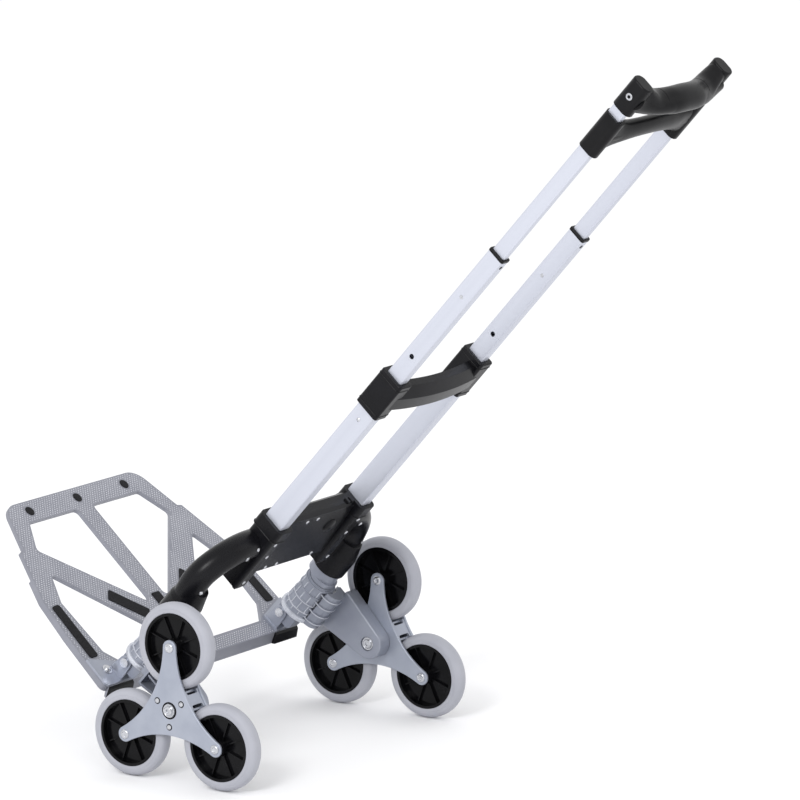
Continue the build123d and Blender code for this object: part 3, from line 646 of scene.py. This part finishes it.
def frame_details():
    """Lip lines, a moulded bulge and small tabs on the black mouldings."""
    bm = bmesh.new()
    for side in SIDES.values():
        bead(bm, rounded_loop(side * TUBE_X, TUBE_Y, 277.5, (31.2, 42.2), 8.0), 0.8)
        tab = [(side * x, y, 191) for x, y in ((82, 26), (97, 26), (97, 31), (82, 31))]
        slab(bm, tab, (0, 0, -8), 1.5)
    rear = surface_tree("frame_rear_shell")
    seat, normal, _, _ = rear.ray_cast(Vector((44, -80, 262)), Vector((0, 1, 0)))
    dome = [(11 * cos(a), 5 * sin(a)) for a in [radians(9 * k) for k in range(10)]] + [(0, 5)]
    lathe(bm, seat - normal * 0.2, normal, [(0, -0.2)] + dome, 40)
    for x in (58, 66):
        slab(bm, [(x, 37, 294), (x + 5, 37, 294), (x + 5, 45, 294), (x, 45, 294)], (0, 0, 3.5), 0.8)
    piece("frame_lip_lines", "frame", "frame_black", bm)
    bm = bmesh.new()
    for side in SIDES.values():
        for z in (514, 560):
            bead(bm, rounded_loop(side * TUBE_X, TUBE_Y, z, (26.1, 37.1), 4.0), 0.6)
    piece("bridge_lip_lines", "frame", "fitting_black", bm)


# ---------------------------------------------------------------- handle
def section(x, y, z, deep, tall, square, count=40):
    """A closed curve square to X, from an ellipse (square = 2) towards a rounded box."""
    points = []
    for n in range(count):
        c, s = cos(2 * pi * n / count), sin(2 * pi * n / count)
        points.append(Vector((
            x,
            y + deep * (abs(c) ** (2 / square)) * (1 if c >= 0 else -1),
            z + tall * (abs(s) ** (2 / square)) * (1 if s >= 0 else -1),
        )))
    return points


def slopes(stations, n):
    """How fast each value changes at station n."""
    before, after = stations[max(n - 1, 0)], stations[min(n + 1, len(stations) - 1)]
    if n == 0:
        return [0.0] * (len(before) - 1)
    return [(b - a) / (after[0] - before[0]) for a, b in zip(before[1:], after[1:])]


def eased(stations, x):
    """The values at x on smooth curves through stations of (x, values...)."""
    n = max(k for k in range(len(stations) - 1) if stations[k][0] <= x)
    (x0, *low), (x1, *high) = stations[n], stations[n + 1]
    span = x1 - x0
    t = (x - x0) / span
    values = []
    for a, b, ma, mb in zip(low, high, slopes(stations, n), slopes(stations, n + 1)):
        values.append(
            a * (2 * t ** 3 - 3 * t ** 2 + 1) + ma * span * (t ** 3 - 2 * t ** 2 + t)
            + b * (3 * t ** 2 - 2 * t ** 3) + mb * span * (t ** 3 - t ** 2)
        )
    return values


def skin(bm, stations, steps, grooves=()):
    """A smooth body along X, the same on both sides, through (|x|, y, z, deep, tall, square)."""
    reach = stations[-1][0]
    places = [(-reach + 2 * reach * n / steps, 0.0) for n in range(steps + 1)]
    for groove in grooves:
        places = [p for p in places if abs(p[0] - groove) > 1.2]
        places += [
            (groove - 0.8, 0.0), (groove - 0.3, 0.45), (groove + 0.3, 0.45), (groove + 0.8, 0.0),
        ]
    rings = []
    for x, inset in sorted(places):
        y, z, deep, tall, square = eased(stations, abs(x))
        outline = section(x, y, z, deep - inset, tall - inset, square)
        rings.append([bm.verts.new(p) for p in outline])
    for ring in (rings[0], rings[-1]):
        stack(bm, [ring, [bm.verts.new(sum((v.co for v in ring), Vector()) / len(ring))]])
    stack(bm, rings)


# Stations for skin: (|x|, y, z, half depth, half height, squareness)
GRIP_STATIONS = [
    (0, 24.0, 1072.0, 17.6, 16.2, 2.0),
    (24, 24.6, 1071.0, 17.4, 15.8, 2.0),
    (44, 28.4, 1068.6, 16.9, 14.6, 2.0),
    (58, 32.0, 1067.8, 16.8, 15.2, 2.1),
    (70, 36.2, 1069.4, 15.6, 18.4, 2.5),
    (79, 39.4, 1071.4, 14.2, 20.9, 3.0),
    (86, 41.0, 1072.0, 13.2, 21.4, 3.2),
]
RELEASE_STATIONS = [
    (0, 33.6, 1016.0, 9.9, 13.4, 2.0),
    (34, 34.2, 1014.5, 10.0, 13.8, 2.0),
    (56, 36.0, 1011.5, 10.4, 15.6, 2.2),
    (72, 39.2, 1009.0, 11.4, 20.0, 2.6),
    (81, 41.0, 1008.0, 12.2, 24.0, 3.0),
    (86, 41.4, 1008.0, 12.4, 24.6, 3.0),
]


def handle_skins():
    """The grip flows out of its end blocks, and the release bar out of its collars. Both lie
    over CAD nodes that stay shown."""
    bm = bmesh.new()
    skin(bm, GRIP_STATIONS, 120, (-46, 46))
    piece("grip_skin", "upper_stage", "grip_black", bm)
    bm = bmesh.new()
    skin(bm, RELEASE_STATIONS, 90)
    piece("release_skin", "release_bar", "grip_black", bm)


# ---------------------------------------------------------------- toe plate
DOT_PITCH_X, DOT_PITCH_Y = 4.8, 2.9
DOT_SIZE, DOT_RISE = 0.95, 0.45
DOT_MARGIN = 2.6


def toe_dots():
    """Small pyramids in staggered rows on the flat of the toe plate, for grip, in a lighter finish
    that paints on their glints.
    """
    plate = surface_tree("toe_plate")
    covers = surface_tree(
        "toe_plate_pads", "toe_plate_plugs", "left_toe_bracket", "right_toe_bracket",
    )
    down = Vector((0, 0, -1))

    def flat(x, y):
        above = Vector((x, y, TOE_TOP + 4))
        seat = plate.ray_cast(above, down)[0]
        if seat is None or abs(seat.z - TOE_TOP) >= 0.1:
            return False
        return covers.ray_cast(above, down)[0] is None

    bm = bmesh.new()
    around = [(DOT_MARGIN, 0), (-DOT_MARGIN, 0), (0, DOT_MARGIN), (0, -DOT_MARGIN)]
    for row in range(int(290 / DOT_PITCH_Y)):
        y = 33 + DOT_PITCH_Y * row
        for n in range(-45, 46):
            x = DOT_PITCH_X * (n + 0.5 * (row % 2))
            if not flat(x, y) or not all(flat(x + dx, y + dy) for dx, dy in around):
                continue
            foot = [(x + DOT_SIZE, y), (x, y + DOT_SIZE), (x - DOT_SIZE, y), (x, y - DOT_SIZE)]
            foot = [bm.verts.new((px, py, TOE_TOP)) for px, py in foot]
            stack(bm, [foot, [bm.verts.new((x, y, TOE_TOP + DOT_RISE))]])
    piece("toe_dots", "toe_plate", "toe_silver", bm, look=DOT_GLINT_FINISH)


def toe_plugs():
    """Domed plugs in the front bar of the toe plate."""
    dome = [(0, -0.2), (6.9, -0.2), (6.9, 0.4), (6.4, 0.9), (4.5, 1.15), (0, 1.2)]
    bm = bmesh.new()
    for x in (-100.5, 0, 100.5):
        lathe(bm, (x, TOE_PLUG_Y, TOE_TOP), (0, 0, 1), dome, 32)
    piece("toe_plug_domes", "toe_plate", "pad_black", bm, ["toe_plate_plugs"])


add_camera()
add_studio()
finish_nodes()
toe_dots()
toe_plugs()
toe_bolt_heads()
frame_screw_heads()
frame_details()
tube_rivet_heads()
grip_bolt_heads()
handle_skins()
for name, side in SIDES.items():
    star_fasteners(name, side)
    hub_fasteners(name, side)
    tyres(name, side)
    barrel_rings(name, side)
bpy.context.scene.view_settings.view_transform = "Standard"
